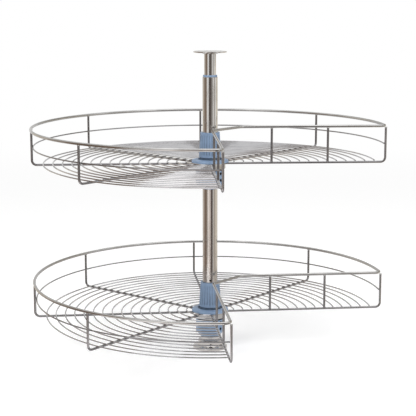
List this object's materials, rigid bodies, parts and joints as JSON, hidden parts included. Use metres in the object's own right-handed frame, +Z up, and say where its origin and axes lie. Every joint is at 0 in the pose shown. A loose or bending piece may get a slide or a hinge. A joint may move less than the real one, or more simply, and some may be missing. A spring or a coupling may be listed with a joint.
{
  "type": "corner carousel",
  "caption": "Revolving corner cabinet fitting: a telescopic chrome pole with three-quarter round wire baskets that turn on blue plastic hubs.",
  "frame": {"origin": "centre of the foot's underside, on the pole's axis", "axes": "+Z up along the pole, the upper basket's missing quarter between +X and -Y"},
  "size_m": [0.7566, 0.7569, 0.64],
  "materials": {
    "chrome": "polished",
    "blue_plastic": "moulded, satin",
    "black_steel": "black oxide",
    "pale_plastic": "natural acetal"
  },
  "bodies": {
    "column": {"foot": "chrome", "outer_tube": "chrome", "guide_ring": "blue_plastic"},
    "pole_extension": {"inner_tube": "chrome", "inner_tube_plug": "pale_plastic", "top_plate": "chrome"},
    "lower_support": {"lower_collar": "blue_plastic", "lower_collar_screw_1": "black_steel", "lower_collar_screw_2": "black_steel", "lower_thrust_washer": "pale_plastic"},
    "lower_basket": {"lower_hub": "blue_plastic", "lower_hub_ring": "chrome", "lower_floor_grille": "chrome", "lower_arm_1": "chrome", "lower_arm_2": "chrome", "lower_arm_3": "chrome", "lower_arm_4": "chrome", "lower_arm_5": "chrome", "lower_edge_post_1": "chrome", "lower_edge_post_2": "chrome", "lower_edge_post_3": "chrome", "lower_edge_post_4": "chrome", "lower_middle_wire": "chrome", "lower_rim": "chrome"},
    "upper_support": {"upper_collar": "blue_plastic", "upper_collar_screw_1": "black_steel", "upper_collar_screw_2": "black_steel", "upper_thrust_washer": "pale_plastic"},
    "upper_basket": {"upper_hub": "blue_plastic", "upper_hub_ring": "chrome", "upper_floor_grille": "chrome", "upper_arm_1": "chrome", "upper_arm_2": "chrome", "upper_arm_3": "chrome", "upper_arm_4": "chrome", "upper_arm_5": "chrome", "upper_edge_post_1": "chrome", "upper_edge_post_2": "chrome", "upper_edge_post_3": "chrome", "upper_edge_post_4": "chrome", "upper_middle_wire": "chrome", "upper_rim": "chrome"}
  },
  "joints": [
    {"name": "pole_slide", "type": "slide", "parent": "column", "child": "pole_extension", "axis": [0, 0, 1], "range_m": [-0.035, 0.11]},
    {"name": "lower_height_slide", "type": "slide", "parent": "column", "child": "lower_support", "axis": [0, 0, 1], "range_m": [0, 0.06]},
    {"name": "lower_basket_spin", "type": "hinge", "parent": "lower_support", "child": "lower_basket", "pos_m": [0, 0, 0.08], "axis": [0, 0, 1], "continuous": true},
    {"name": "upper_height_slide", "type": "slide", "parent": "column", "child": "upper_support", "axis": [0, 0, 1], "range_m": [-0.06, 0.08]},
    {"name": "upper_basket_spin", "type": "hinge", "parent": "upper_support", "child": "upper_basket", "pos_m": [0, 0, 0.404], "axis": [0, 0, 1], "continuous": true}
  ]
}
